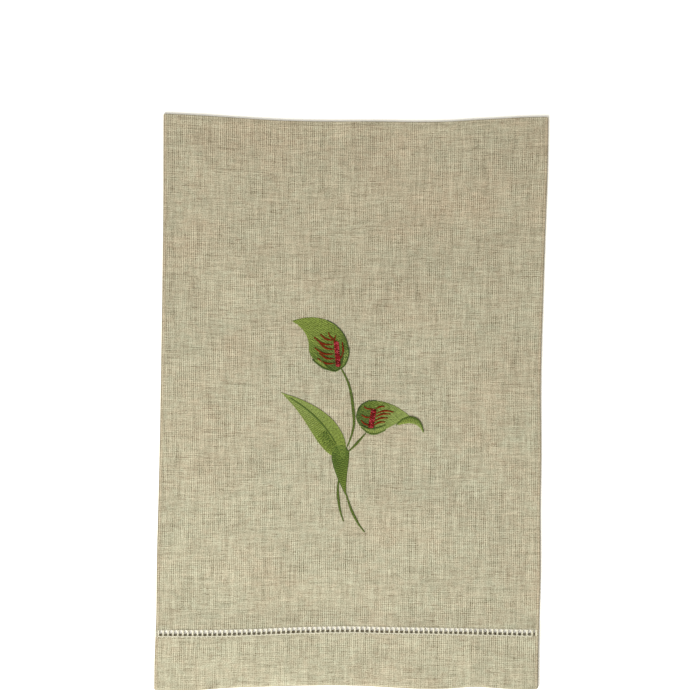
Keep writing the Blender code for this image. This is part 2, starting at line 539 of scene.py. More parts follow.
@dataclass(frozen=True)
class LinenFinish:
    """Natural undyed linen in plain weave, with threads of uneven thickness and tone."""

    width: float
    length: float
    hem: float
    row: float
    warp_pitch: float = 0.928
    weft_pitch: float = 0.88
    warp_pairs: float = 0.25
    weft_pairs: float = 0.04
    warp_stretch: float = 24.0
    weft_stretch: float = 19.0
    middle_tone: float = 0.53
    slub_share: float = 0.4
    # Painted shade: how strongly the gaps between the threads are darkened.
    pore_shade_share: float = 0.5
    # Painted shade: how strongly the wall at the lower edge of the row's openings is darkened.
    turned_edge_shade_share: float = 0.3
    # Painted shade: how strongly the left, right and lower rims are darkened.
    rim_shade_share: float = 0.45
    relief_strength: float = 0.6
    relief_depth: float = 0.2
    pale: tuple[int, int, int] = (239, 233, 203)
    # The brown: the dark end of the yarns' own tone, and also the painted shade in the gaps between threads
    # and at the rims.
    brown: tuple[int, int, int] = (104, 93, 65)
    # The slub colour: dark slubs, and also the painted shade on the wall at the row's lower edge.
    slub: tuple[int, int, int] = (108, 79, 54)
    rosy: tuple[int, int, int] = (254, 243, 238)
    mossy: tuple[int, int, int] = (247, 252, 250)

    def yarns(
        self, painter: Painter, place: Signal, run: Signal, seed: float, pairs: float, stretch: float
    ) -> Yarns:
        """Follows the threads that run one way.

        Args:
            painter: The material's painter.
            place: The place across the threads, counted in threads.
            run: The distance along them, in millimetres.
            seed: Tells one set of threads from another.
            pairs: How much paler every second thread is than its neighbours.
            stretch: The length over which a thread's tone changes, in millimetres.

        Returns:
            Their round, their tone around 0 and their thick stretches.
        """
        line = place.math("FLOOR")
        swing = (place * math.pi).sine()
        patchy = painter.noise(line * 0.11, run / 40, seed + 5.0).above(0.2, 0.6)
        own = painter.noise(line * 7.31, run / stretch, seed, 3.0) - 0.5
        thick = painter.noise(line * 3.77, run / (stretch * 0.7), seed + 9.0, 1.0)
        return Yarns(abs(swing), own + swing * (patchy * pairs), thick)

    def paint(self) -> bpy.types.Material:
        """Builds the linen's material on the weave map.

        Returns:
            The material.
        """
        painter = Painter("natural_linen", 0.9)
        painter.set("Specular IOR Level", 0.2)
        place = painter.node("UVMap", {"uv_map": "weave"})
        split = painter.node("SeparateXYZ", None, {0: place.outputs[0]})
        x = Signal(painter, split.outputs[0]) * (1 / MM)
        y = Signal(painter, split.outputs[1]) * (1 / MM)
        warp_place = x / self.warp_pitch + painter.noise(x / 12, y / 40, 3.0) * 1.2
        weft_place = y / self.weft_pitch + painter.noise(x / 30, y / 9, 7.0) * 1.4
        warp = self.yarns(painter, warp_place, y, 11.0, self.warp_pairs, self.warp_stretch)
        weft = self.yarns(painter, weft_place, x, 17.0, self.weft_pairs, self.weft_stretch)
        over = ((warp_place * math.pi).sine() * (weft_place * math.pi).sine()).above(-0.3, 0.3)
        grain = painter.noise(x / 0.95, y / 1.1, 23.0, 1.0) - 0.5

        bands = painter.noise(x / 6, y / 150, 31.0) * 0.2 + painter.noise(x / 45, y / 3, 37.0) * 0.2 - 0.2
        shade = warp.tone * (over * 0.5 + 0.5) + weft.tone * (0.9 - over * 0.4)
        shade = shade + grain + bands + self.middle_tone
        colour = painter.mix(shade.math("MAXIMUM", 0.0), seen(*self.brown), seen(*self.pale))
        dark_slub = weft.thick.above(0.65, 0.71) * (0.9 - over * 0.3)
        pale_slub = warp.thick.above(0.66, 0.74) * (over * 0.3 + 0.2)
        colour = painter.mix(dark_slub * self.slub_share, colour, seen(*self.slub))
        colour = painter.mix(pale_slub, colour, seen(*self.pale))
        # Painted shade: the gaps between the threads are darkened towards brown.
        pore = (1.0 - warp.rounded) * (1.0 - weft.rounded)
        colour = painter.mix(pore.above(0.2, 0.7) * self.pore_shade_share, colour, seen(*self.brown))

        cloud = painter.noise(x / 90, y / 70, 41.0).above(0.42, 0.68) * 0.3
        cloud = cloud + (painter.noise(x / 30, y / 22, 47.0) - 0.5) * 0.6
        fleck = (painter.noise(x / 6, y / 5, 43.0) - 0.5) * 1.1
        inner = self.width / 2 - self.hem
        side = (x - self.width / 2).math("ABSOLUTE").above(inner, inner + 1)
        # Painted shade: the wall at the lower edge of the row's openings is darkened towards the slub colour.
        turned = y.above(self.row - 0.2, self.row - 0.05) * (1.0 - y.above(self.row + 0.05, self.row + 0.2))
        colour = painter.mix(turned * self.turned_edge_shade_share, colour, seen(*self.slub))
        # Painted shade: the last millimetre of the cloth at its left, right and lower rims is darkened
        # towards brown.
        rim = x.math("MINIMUM", self.width - x).math("MINIMUM", y).above(0.1, 1.0)
        colour = painter.mix((1.0 - rim) * self.rim_shade_share, colour, seen(*self.brown))
        blush = cloud + fleck + (y / self.length).above(0.4, 1.0) * 0.25 + side * 0.3 + 0.3
        tint = painter.mix(blush, linear(*self.mossy), linear(*self.rosy))
        colour = painter.mix(1.0, colour, tint, "MULTIPLY")
        painter.set("Base Color", colour)
        crossing = warp.rounded * (over * 0.7 + 0.3) + weft.rounded * (1.0 - over * 0.7)
        uneven = warp.tone * over + weft.tone * (1.0 - over) + grain * 0.4
        bulge = (warp.thick + weft.thick - 1.0) * 0.3 + uneven * 0.5
        painter.relief(crossing * 0.5 + bulge, self.relief_strength, self.relief_depth)
        return painter.material


@dataclass(frozen=True)
class ThreadFinish:
    """Sewing or embroidery thread that takes its tone from the stitches themselves."""

    name: str
    roughness: float
    gloss: float
    ply_pitch: float = 1.1
    # The darker copy of each thread's colour: painted shade in the ply grooves, and partly random fibre tone.
    groove_shade_and_fibre_tone: tuple[int, int, int] = (205, 205, 205)

    def paint(self) -> bpy.types.Material:
        """Builds the thread's material on the stitches' own attributes.

        Returns:
            The material.
        """
        painter = Painter(self.name, self.roughness)
        painter.set("Specular IOR Level", self.gloss)
        tone = painter.node("Attribute", {"attribute_name": "thread_colour"})
        strand = painter.node("Attribute", {"attribute_name": "strand"})
        split = painter.node("SeparateXYZ", None, {0: strand.outputs["Vector"]})
        along = Signal(painter, split.outputs[0])
        around = Signal(painter, split.outputs[1])
        seed = Signal(painter, split.outputs[2])
        ply = ((along / self.ply_pitch + around * 2.0) * (2 * math.pi)).sine() * 0.5 + 0.5
        fibre = painter.noise(along / 0.8, around * 9.0 + seed * 40.0, 5.0)
        # Painted shade along the twist's grooves, mixed with random fibre tone: the colour is darker where
        # the ply pattern and fibre noise are low.
        shade = (ply * 0.5 + fibre * 0.5).above(0.1, 0.8)
        darker = painter.mix(1.0, tone.outputs["Color"], linear(*self.groove_shade_and_fibre_tone), "MULTIPLY")
        painter.set("Base Color", painter.mix(shade, darker, tone.outputs["Color"]))
        painter.relief(ply * 0.6 + fibre * 0.4, 0.5, 0.06)
        return painter.material


@dataclass(frozen=True)
class GroundFinish:
    """The plain pale surface that the towel lies on."""

    tone: tuple[int, int, int] = (253, 250, 241)

    def paint(self) -> bpy.types.Material:
        """Builds the ground's material.

        Returns:
            The material.
        """
        painter = Painter("pale_ground", 0.8)
        painter.set("Base Color", linear(*self.tone))
        painter.set("Specular IOR Level", 0.1)
        return painter.material


class Floss(Enum):
    """The threads of the towel, by the colour seen on screen."""

    IVORY = (255, 250, 226)
    CREAM = (226, 219, 188)
    LINEN = (196, 188, 158)
    LIME = (155, 172, 92)
    LEAF = (144, 162, 72)
    MOSS = (118, 138, 56)
    FERN = (98, 122, 50)
    FOREST = (80, 102, 42)
    PINE = (74, 96, 50)
    STEM = (86, 103, 36)
    CRIMSON = (170, 26, 38)
    ROSE = (212, 78, 90)
    BLOOD = (146, 44, 8)
    RUSSET = (114, 34, 2)
    WINE = (104, 10, 12)

    def tone(self) -> np.ndarray:
        """The colour as light, with no alpha."""
        return np.array(seen(*self.value)[:3])


@dataclass(frozen=True)
class Tube:
    """A straight closed tube of unit radius: its mesh, and the ring and round of each of its points."""

    mesh: bpy.types.Mesh
    ring: np.ndarray
    cosine: np.ndarray
    sine: np.ndarray

    @classmethod
    def make(cls, sides: int, rings: int) -> "Tube":
        """Makes a tube.

        Args:
            sides: How many sides its round has.
            rings: How many rings of points it has along its length.

        Returns:
            The tube.
        """
        bm = bmesh.new()
        bmesh.ops.create_cone(
            bm, cap_ends=True, cap_tris=False, segments=sides, radius1=1, radius2=1, depth=rings - 1
        )
        upright = [edge for edge in bm.edges if abs(edge.verts[0].co.z - edge.verts[1].co.z) > 0.5]
        bmesh.ops.subdivide_edges(bm, edges=upright, cuts=rings - 2, use_grid_fill=True)
        mesh = bpy.data.meshes.new("tube")
        bm.to_mesh(mesh)
        bm.free()
        places = np.array([vert.co for vert in mesh.vertices])
        ring = np.rint(places[:, 2] + (rings - 1) / 2).astype(int)
        return cls(mesh, ring, places[:, 0], places[:, 1])


class ThreadWork:
    """Many short runs of thread, gathered into one mesh."""

    def __init__(self, sides: int, flatness: float, seed: int) -> None:
        """Starts an empty piece of work.

        Args:
            sides: How many sides a thread's round has.
            flatness: A thread's height over its width.
            seed: Starts this piece's own random draws.
        """
        self.sides = sides
        self.flatness = flatness
        self.random = random.Random(seed)
        self.tubes: dict[int, Tube] = {}
        self.threads: list[Tube] = []
        self.places: list[np.ndarray] = []
        self.tones: list[np.ndarray] = []
        self.strands: list[np.ndarray] = []

    def lay(self, path: np.ndarray, radii: np.ndarray, tone: np.ndarray) -> None:
        """Lays one thread as a closed tube.

        Args:
            path: The thread's middle, in millimetres, one row of x, y and z for each ring.
            radii: Half the thread's width at each ring.
            tone: The thread's colour as light.
        """
        rings = len(path)
        if rings not in self.tubes:
            self.tubes[rings] = Tube.make(self.sides, rings)
        tube = self.tubes[rings]
        tangent = np.gradient(path, axis=0)
        tangent /= np.linalg.norm(tangent, axis=1)[:, None]
        side = np.cross((0.0, 0.0, 1.0), tangent)
        side /= np.maximum(np.linalg.norm(side, axis=1)[:, None], 1e-6)
        lift = np.cross(tangent, side) * self.flatness
        ring = tube.ring
        off = tube.cosine[:, None] * side[ring] + tube.sine[:, None] * lift[ring]
        steps = np.linalg.norm(np.diff(path, axis=0), axis=1)
        along = np.concatenate([[0.0], np.cumsum(steps)])
        around = np.arctan2(tube.sine, tube.cosine) / (2 * math.pi)
        chance = np.full(len(ring), self.random.random())
        self.threads.append(tube)
        self.places.append(path[ring] + off * np.asarray(radii)[ring, None])
        self.tones.append(np.tile(np.append(tone, 1.0), (len(ring), 1)))
        self.strands.append(np.column_stack([along[ring], around, chance]))

    def vary(self, tone: np.ndarray, spread: float) -> np.ndarray:
        """A tone made a little lighter or darker by chance."""
        return tone * (1 + self.random.uniform(-spread, spread))

    def piece(self, name: str, material: bpy.types.Material) -> bpy.types.Object:
        """Makes the object of all the threads laid.

        Args:
            name: The piece's name.
            material: Its finish.

        Returns:
            The object, riding on the towel.
        """
        bm = bmesh.new()
        for tube in self.threads:
            bm.from_mesh(tube.mesh)
        mesh = bpy.data.meshes.new(name)
        bm.to_mesh(mesh)
        bm.free()
        mesh.vertices.foreach_set("co", (np.vstack(self.places) * MM).astype(np.float32).ravel())
        tones = mesh.color_attributes.new("thread_colour", "FLOAT_COLOR", "POINT")
        tones.data.foreach_set("color", np.vstack(self.tones).astype(np.float32).ravel())
        strands = mesh.attributes.new("strand", "FLOAT_VECTOR", "POINT")
        strands.data.foreach_set("vector", np.vstack(self.strands).astype(np.float32).ravel())
        mesh.shade_smooth()
        mesh.update()
        for tube in self.tubes.values():
            bpy.data.meshes.remove(tube.mesh)
        return show(name, mesh, material)


def show(name: str, mesh: bpy.types.Mesh, material: bpy.types.Material) -> bpy.types.Object:
    """Puts a mesh in the scene as a piece of the towel.

    Args:
        name: The piece's name.
        mesh: Its mesh, in the row's frame.
        material: Its finish.

    Returns:
        The object, riding on the towel.
    """
    mesh.materials.append(material)
    piece = bpy.data.objects.new(name, mesh)
    bpy.context.scene.collection.objects.link(piece)
    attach(piece, "root")
    LOG.info("%s: %d points, %d faces", name, len(mesh.vertices), len(mesh.polygons))
    return piece


@dataclass
class Ladder:
    """The places of the drawn-thread row: its bars and the openings between them."""

    form: ClothForm
    count: int = 77
    pitch: float = 4.57
    first: float = 2.7
    bundle_half: float = 0.5
    bundle_spread: float = 0.75
    left_slit: Point = (0.9, 2.1)
    right_slit: Point = (351.2, 353.0)
    edge_bars: Point = (0.45, 353.9)

    def bars(self) -> list[float]:
        """The middle of each bar, in millimetres from the left edge."""
        return [self.first + self.pitch * bar for bar in range(self.count)]

    def openings(self) -> list[Point]:
        """The openings, each as its start and end in millimetres from the left edge."""
        bars = self.bars()
        inner = [(a + self.bundle_half, b - self.bundle_half) for a, b in zip(bars, bars[1:])]
        return [self.left_slit, *inner, self.right_slit]

    def gather(self, along: float, above: float) -> float:
        """Moves a bundle's side outwards towards the row's two edges, where its threads spread.

        Args:
            along: A distance from the left edge, in millimetres.
            above: The distance above the row's middle line.

        Returns:
            The distance from the left edge after the spread.
        """
        bars = self.bars()
        nearest = bars[min(max(round((along - self.first) / self.pitch), 0), self.count - 1)]
        share = abs(above) / self.form.ladder_half
        if abs(abs(along - nearest) - self.bundle_half) > TOUCH or share > 1 + TOUCH:
            return along
        return along + math.copysign(self.bundle_spread * share**4, along - nearest)

    def place(self, along: np.ndarray, above: np.ndarray, height: np.ndarray) -> np.ndarray:
        """Finds places in the row.

        Args:
            along: Distances from the left edge, in millimetres.
            above: Distances above the row's middle line.
            height: Heights above the cloth's upper face.

        Returns:
            The x, y and z of each place, in millimetres, one row each.
        """
        across = np.asarray(along, float) / self.form.width
        up = np.full_like(across, self.form.ladder_line / self.form.length)
        plan = self.form.plan(across, up)
        top = self.form.top(plan, across, up)
        plan[:, 1] += above
        return np.column_stack([plan, top + height])


@dataclass
class LinenSheet:
    """The cloth itself, with its folded edges, its hems and the openings of its drawn-thread row."""

    form: ClothForm
    ladder: Ladder
    row_step: float = 2.7
    band_rows: tuple[float, ...] = (0.10, 0.27, 0.5, 0.73, 0.90)
    rim: float = 0.9
    rim_cuts: int = 5
    bulge: float = 0.36
    groove: float = 0.5
    corner_round: float = 1.2
    hem_edge: float = 1.9
    ruck_size: float = 9.0
    ruck_height: float = 0.10
    sharp_fold: float = 60.0

    @property
    def band(self) -> Point:
        """The lower and upper edge of the row's openings, in millimetres from the lower edge."""
        return self.form.ladder_line - self.form.ladder_half, self.form.ladder_line + self.form.ladder_half

    def columns(self) -> list[float]:
        """The mesh's columns, in millimetres from the left edge: the sides of each opening."""
        sides = [side for opening in self.ladder.openings() for side in opening]
        return [0.0, *sides, self.form.width - self.rim, self.form.width]

    def rows(self) -> list[float]:
        """The mesh's rows, in millimetres from the lower edge."""
        low, high = self.band
        top = self.form.length - self.form.narrow_hem
        hem = np.linspace(self.rim, low, round(low / self.row_step))
        band = [low + share * (high - low) for share in self.band_rows]
        body = np.linspace(high, top, round((top - high) / self.row_step))
        return [0.0, *hem, *band, *body, self.form.length - self.rim, self.form.length]

    def build(self) -> bpy.types.Object:
        """Builds the cloth as one closed sheet.

        Returns:
            The object, riding on the towel in place of its solid.
        """
        bm = bmesh.new()
        self.lay_grid(bm)
        raised = bmesh.ops.extrude_face_region(bm, geom=bm.faces[:], use_keep_orig=True)["geom"]
        upper = [item for item in raised if isinstance(item, bmesh.types.BMVert)]
        bmesh.ops.translate(bm, verts=upper, vec=Vector((0, 0, 1)))
        upright = [edge for edge in bm.edges if self.is_upright(edge)]
        bmesh.ops.subdivide_edges(bm, edges=upright, cuts=self.rim_cuts, use_grid_fill=True)
        self.lay_down(bm)
        bmesh.ops.recalc_face_normals(bm, faces=bm.faces[:])
        self.map_weave(bm)
        mesh = bpy.data.meshes.new("linen_cloth")
        bm.to_mesh(mesh)
        bm.free()
        mesh.shade_smooth()
        mesh.set_sharp_from_angle(angle=math.radians(self.sharp_fold))
        finish = LinenFinish(self.form.width, self.form.length, self.form.narrow_hem, self.band[0])
        sheet = show("linen_cloth", mesh, finish.paint())
        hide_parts(NODE)
        return sheet

    def lay_grid(self, bm: bmesh.types.BMesh) -> None:
        """Lays the flat grid, notes where on the cloth each point is, and cuts the openings.

        Args:
            bm: An empty mesh.
        """
        columns, rows = self.columns(), self.rows()
        wide, long = len(columns) - 1, len(rows) - 1
        bmesh.ops.create_grid(bm, x_segments=wide, y_segments=long, size=0.5)
        across = bm.verts.layers.float.new("across")
        up = bm.verts.layers.float.new("up")
        for vert in bm.verts:
            row = rows[round((vert.co.y + 0.5) * long)]
            column = columns[round((vert.co.x + 0.5) * wide)]
            vert[across] = self.ladder.gather(column, row - self.form.ladder_line) / self.form.width
            vert[up] = row / self.form.length
        low, high = self.band
        openings = set(self.ladder.openings())
        gone = []
        for face in bm.faces:
            middle = face.calc_center_median()
            left, under = int((middle.x + 0.5) * wide), int((middle.y + 0.5) * long)
            in_band = low < (rows[under] + rows[under + 1]) / 2 < high
            if in_band and (columns[left], columns[left + 1]) in openings:
                gone.append(face)
        bmesh.ops.delete(bm, geom=gone, context="FACES")

    def is_upright(self, edge: bmesh.types.BMEdge) -> bool:
        """Tells whether an edge of the unit block stands on the block's outer rim."""
        first, second = (vert.co for vert in edge.verts)
        return abs(first.z - second.z) > 0.5 and max(abs(first.x), abs(first.y)) > BLOCK_RIM

    def lay_down(self, bm: bmesh.types.BMesh) -> None:
        """Puts every point of the unit block where the cloth lies.

        Args:
            bm: The block, whose height goes from 0 at the underside to 1 at the upper face.
        """
        form = self.form
        verts = bm.verts[:]
        block = np.array([vert.co for vert in verts])
        across = np.array([vert[bm.verts.layers.float["across"]] for vert in verts])
        up = np.array([vert[bm.verts.layers.float["up"]] for vert in verts])
        level = block[:, 2]
        places = form.plan(across, up)
        upper_lift, under_lift = form.hem_lift(across, up)
        rise = form.rise(places)
        rucks = np.array([noise.noise(Vector((*place, 0)) / self.ruck_size) for place in places])
        top = rise + form.layer + upper_lift + rucks * self.ruck_height
        under = rise + under_lift
        thick = top - under

        outer = (abs(block[:, :2]) > BLOCK_RIM) * np.sign(block[:, :2])
        fold = self.bulge * thick * (1 - np.sqrt(np.clip(1 - (2 * level - 1) ** 2, 0, 1)))
        layers = self.groove * thick * np.clip(1 - abs(2 * level - 1) * 3, 0, 1)
        open_end = (abs(outer[:, 0]) > 0) & (up * form.length < self.band[0])
        places -= outer * (fold + np.where(open_end, layers * 0.5, 0.0))[:, None]
        corner = np.all(outer != 0, axis=1)
        places -= np.where(corner, self.corner_round / math.sqrt(2), 0.0)[:, None] * outer

        above = up * form.length - self.band[0]
        near = np.clip(1 - above / (2 * form.ladder_half), 0, 1)
        turned = (above > -TOUCH) & (level < 0.5)
        places[:, 1] += np.where(turned, self.hem_edge * near**2, 0.0)
        for vert, place, z in zip(verts, places, under + level * thick):
            vert.co = Vector((place[0], place[1], z)) * MM

    def map_weave(self, bm: bmesh.types.BMesh) -> None:
        """Lays the weave map over the sheet, in metres of cloth.

        Args:
            bm: The sheet.
        """
        across = bm.verts.layers.float["across"]
        up = bm.verts.layers.float["up"]
        weave = bm.loops.layers.uv.new("weave")
        size = Vector((self.form.width, self.form.length)) * MM
        for face in bm.faces:
            for loop in face.loops:
                loop[weave].uv = (loop.vert[across] * size.x, loop.vert[up] * size.y)


@dataclass
class Hemstitch:
    """The ivory thread of the drawn-thread row: wrapped bars, scalloped loops and short ticks."""

    ladder: Ladder
    finish: ThreadFinish = ThreadFinish("hemstitch_cotton", 0.8, 0.2)
    thread: float = 0.27
    # Painted light: the bars' ivory is made brighter than the same thread in the loops and ticks.
    bar_painted_light: float = 1.28
    wraps: int = 10
    wrap_steps: int = 7
    bar_half: float = 0.58
    bar_spread: float = 0.06
    bar_sink: float = -0.36
    bar_round: float = 0.42
    bar_lean: float = 0.12
    loop_steps: int = 10
    lower_leg: float = 1.4
    upper_leg: float = 0.7
    lower_height: float = 0.08
    upper_height: float = -0.12
    leg_height: float = 0.16
    bite: float = 0.25
    scallops: tuple[tuple[int, float, float, Floss], ...] = (
        (-1, 0.1, 0.95, Floss.IVORY),
        (-1, 0.55, 0.8, Floss.CREAM),
        (1, 0.15, 0.6, Floss.CREAM),
    )

    def build(self) -> list[bpy.types.Object]:
        """Builds the thread of the whole row.

        Returns:
            The wrapped bars and the loops.
        """
        material = self.finish.paint()
        bars = ThreadWork(sides=5, flatness=1.0, seed=11)
        for bar in (*self.ladder.bars(), *self.ladder.edge_bars):
            self.wrap_bar(bars, bar)
        loops = ThreadWork(sides=6, flatness=0.8, seed=12)
        centres = self.ladder.bars()
        for start, end in zip(centres, centres[1:]):
            for side, out, size, floss in self.scallops:
                self.lay_scallop(loops, start, end, side, out, self.thread * size, floss)
        for bar in centres:
            self.lay_ticks(loops, bar)
        return [bars.piece("hemstitch_bars", material), loops.piece("hemstitch_loops", material)]

    def wrap_bar(self, work: ThreadWork, bar: float) -> None:
        """Winds the thread round one bundle of the cloth's own threads.

        Args:
            work: Where the thread goes.
            bar: The bar's middle, in millimetres from the left edge.
        """
        turns = np.linspace(0, self.wraps, self.wraps * self.wrap_steps + 1)
        share = turns / self.wraps * 2 - 1
        half = self.bar_half + self.bar_spread * abs(share) ** 3
        angle = turns * 2 * math.pi + work.random.uniform(0, 0.8)
        lean = work.random.uniform(-self.bar_lean, self.bar_lean)
        along = bar + half * np.cos(angle) + lean * share
        above = share * (self.ladder.form.ladder_half + 0.1)
        height = self.bar_sink + self.bar_round * np.sin(angle)
        path = self.ladder.place(along, above, height)
        # Painted light: the bar's ivory is brightened.
        tone = work.vary(Floss.IVORY.tone() * self.bar_painted_light, 0.03)
        work.lay(path, np.full(len(path), self.thread * 0.95), tone)

    def lay_scallop(
        self, work: ThreadWork, start: float, end: float, side: int, out: float, radius: float, floss: Floss
    ) -> None:
        """Lays one loop round the end of an opening, from bar to bar.

        Args:
            work: Where the thread goes.
            start: The first bar, in millimetres from the left edge.
            end: The next bar.
            side: -1 for the row's lower edge and 1 for its upper edge.
            out: How far out from the opening the loop lies, in millimetres.
            radius: Half the thread's width.
            floss: The thread.
        """
        share = np.linspace(0, 1, self.loop_steps + 1)
        swing = abs(2 * share - 1)
        along = start + (end - start) * share
        reach = self.ladder.form.ladder_half + 0.1 + out + work.random.uniform(-0.1, 0.1)
        leg, rise = (self.lower_leg, self.lower_height) if side < 0 else (self.upper_leg, self.upper_height)
        above = side * (reach - leg * swing**3.4)
        height = rise + self.leg_height * swing
        path = self.ladder.place(along, above, height)
        work.lay(path, np.full(len(path), radius), work.vary(floss.tone(), 0.05))

    def lay_ticks(self, work: ThreadWork, bar: float) -> None:
        """Lays the short stitches that bite into the cloth above and below a bar.

        Args:
            work: Where the thread goes.
            bar: The bar's middle, in millimetres from the left edge.
        """
        edge = self.ladder.form.ladder_half
        ticks = (
            (0.0, edge - 0.2, -0.5, edge + 1.0, Floss.LINEN, 0.6),
            (0.0, edge - 0.2, 0.5, edge + 0.9, Floss.LINEN, 0.6),
            (0.0, edge - 0.5, 0.05, edge + 0.8, Floss.IVORY, 0.95),
            (-0.1, -edge - 0.1, -1.45, -edge - 1.9, Floss.IVORY, 1.0),
        )
        share = np.linspace(0, 1, 4)
        for from_x, from_y, to_x, to_y, floss, size in ticks:
            loose = work.random.uniform(-0.2, 0.2)
            along = bar + from_x + (to_x + loose - from_x) * share
            above = from_y + (to_y + loose - from_y) * share
            height = (self.leg_height if to_y < 0 else 0.0) - self.bite * share**2
            radii = self.thread * size * (1.0 - 0.35 * share)
            tone = work.vary(floss.tone(), 0.06)
            work.lay(self.ladder.place(along, above, height), radii, tone)


@dataclass
class HemSeam:
    """The lines of small linen-coloured stitches that hold the narrow hems down, seen on both faces."""

    form: ClothForm
    inset: float = 3.3
    pitch: float = 2.8
    stitch: float = 2.2
    thread: float = 0.17
    row_gap: float = 3.0
    sink: float = 0.10
    upper_arch: float = 0.2
    under_arch: float = 0.12
    finish: ThreadFinish = ThreadFinish("seam_linen_thread", 0.85, 0.2)

    def build(self) -> bpy.types.Object:
        """Builds the stitches along the left, top and right hems.

        Returns:
            The stitches.
        """
        work = ThreadWork(sides=5, flatness=0.8, seed=21)
        form = self.form
        left, low = self.inset / form.width, self.inset / form.length
        hem_top = (form.ladder_line - form.ladder_half - self.row_gap) / form.length
        row_top = (form.ladder_line + form.ladder_half + self.row_gap) / form.length
        for across in (left, 1 - left):
            self.sew(work, (across, low / 2), (across, hem_top))
            self.sew(work, (across, row_top), (across, 1 - low))
        self.sew(work, (left, 1 - low), (1 - left, 1 - low))
        return work.piece("hem_stitches", self.finish.paint())

    def sew(self, work: ThreadWork, start: Point, end: Point) -> None:
        """Sews one straight run of stitches, on the upper face and in between them on the underside.

        Args:
            work: Where the thread goes.
            start: The run's start, as shares across and up the cloth.
            end: The run's end.
        """
        run = (np.array(end) - start) * (self.form.width, self.form.length)
        count = int(np.linalg.norm(run) / self.pitch)
        share = np.linspace(0, 1, 5)
        arch = np.sin(math.pi * share)
        for stitch in range(count * 2):
            along = (stitch / 2 + 0.1 + share * self.stitch / self.pitch) / count
            across = start[0] + (end[0] - start[0]) * along
            up = start[1] + (end[1] - start[1]) * along
            plan = self.form.plan(across, up)
            if stitch % 2:
                under = self.form.rise(plan) + self.form.hem_lift(across, up)[1]
                height = under + self.sink - self.under_arch * arch
            else:
                height = self.form.top(plan, across, up) - self.sink + self.upper_arch * arch
            radii = self.thread * (0.7 + 0.3 * arch)
            work.lay(np.column_stack([plan, height]), radii, work.vary(Floss.LINEN.tone(), 0.1))


@dataclass(frozen=True)
class FillPatch:
    """A patch of filling stitches inside an outline.

    The stitches lie along lines that start on a rake, a straight line whose two ends each have a
    direction. The colour goes from one thread to another along an arrow. A point given twice is sharp.
    """

    outline: tuple[Point, ...]
    rake: tuple[Point, Point]
    turns: Point
    near: Floss
    far: Floss
    arrow: tuple[Point, Point]
    lift: float = 0.2
    stitch: float = 4.2
    spacing: float = 0.62
    overrun: float = 0.4

    def lines(self) -> Iterator[tuple[int, np.ndarray, np.ndarray]]:
        """Yields each line's number, its start on the rake and its direction."""
        start, end = np.array(self.rake[0]), np.array(self.rake[1])
        count = math.ceil(float(np.linalg.norm(end - start)) / self.spacing)
        more = round(count * self.overrun)
        for line in range(-more, count + more + 1):
            turn = math.radians(self.turns[0] + (self.turns[1] - self.turns[0]) * line / count)
            yield line, start + (end - start) * line / count, np.array([math.cos(turn), math.sin(turn)])

    def cuts(self, origin: np.ndarray, heading: np.ndarray) -> list[float]:
        """Finds where a line crosses the outline.

        Args:
            origin: A point on the line.
            heading: The line's direction.

        Returns:
            The crossings, as distances from the origin, in order.
        """
        off = (self.ring - origin) @ np.array([-heading[1], heading[0]])
        along = (self.ring - origin) @ heading
        next_off, next_along = np.roll(off, -1), np.roll(along, -1)
        hits = (off > 0) != (next_off > 0)
        share = off[hits] / (off[hits] - next_off[hits])
        return sorted(along[hits] + share * (next_along[hits] - along[hits]))

    @cached_property
    def ring(self) -> np.ndarray:
        """The outline as a fine smooth ring of points."""
        return smooth_path(self.outline, 0.8, closed=True)

    def tone(self, place: np.ndarray, chance: float) -> np.ndarray:
        """Chooses the colour at a place.

        Args:
            place: The middle of a stitch.
            chance: A random number from -1 to 1 that mixes the two threads.

        Returns:
            The colour as light.
        """
        start, end = np.array(self.arrow[0]), np.array(self.arrow[1])
        run = end - start
        share = float(ease((place - start) @ run / (run @ run) + 0.3 * chance))
        return self.near.tone() * (1 - share) + self.far.tone() * share


